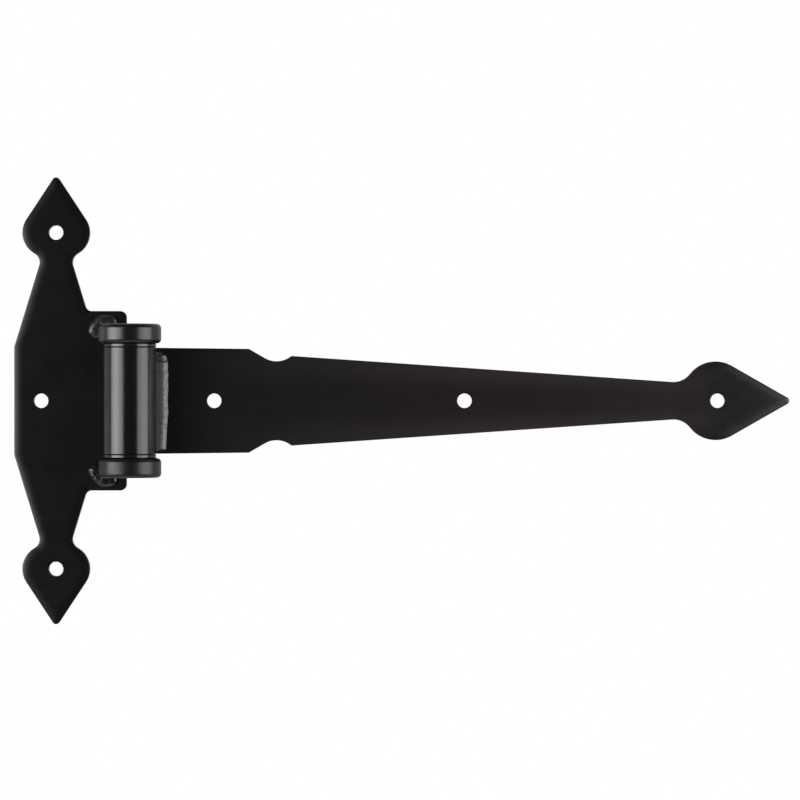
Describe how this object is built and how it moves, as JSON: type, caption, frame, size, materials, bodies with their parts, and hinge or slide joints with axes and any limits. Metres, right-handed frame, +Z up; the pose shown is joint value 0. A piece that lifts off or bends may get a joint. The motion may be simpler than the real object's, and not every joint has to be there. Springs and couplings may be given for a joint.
{
  "type": "tee hinge",
  "caption": "Black steel tee hinge: spear-ended post plate, welded collars and pin barrel, and a long tapered strap with a notched shoulder that swings to hang a gate or shed door.",
  "frame": {"origin": "midway between the post plate's two end holes, on the plate's back face", "axes": "+X along the strap towards its tip, +Z up along the pin, +Y into the post; both leaves' backs lie on Y = 0"},
  "size_m": [0.4, 0.035, 0.2306],
  "materials": {
    "leaf_coat": "satin black powder coat on pressed steel sheet",
    "barrel_coat": "satin black powder coat on turned and drawn steel",
    "weld_coat": "satin black powder coat over rippled weld beads",
    "pin_coat": "black finish on a turned steel pin",
    "bush_polymer": "smooth black acetal"
  },
  "bodies": {
    "post_leaf": {"post_plate": "leaf_coat", "upper_collar": "barrel_coat", "lower_collar": "barrel_coat", "upper_collar_weld": "weld_coat", "lower_collar_weld": "weld_coat", "hinge_pin": "pin_coat"},
    "strap_leaf": {"strap": "leaf_coat", "barrel_tube": "barrel_coat", "upper_bush": "bush_polymer", "lower_bush": "bush_polymer", "barrel_weld": "weld_coat"}
  },
  "joints": [
    {"name": "strap_swing", "type": "hinge", "parent": "post_leaf", "child": "strap_leaf", "pos_m": [0.0392, -0.019, 0], "axis": [0, 0, -1], "range_deg": [0, 180]}
  ]
}
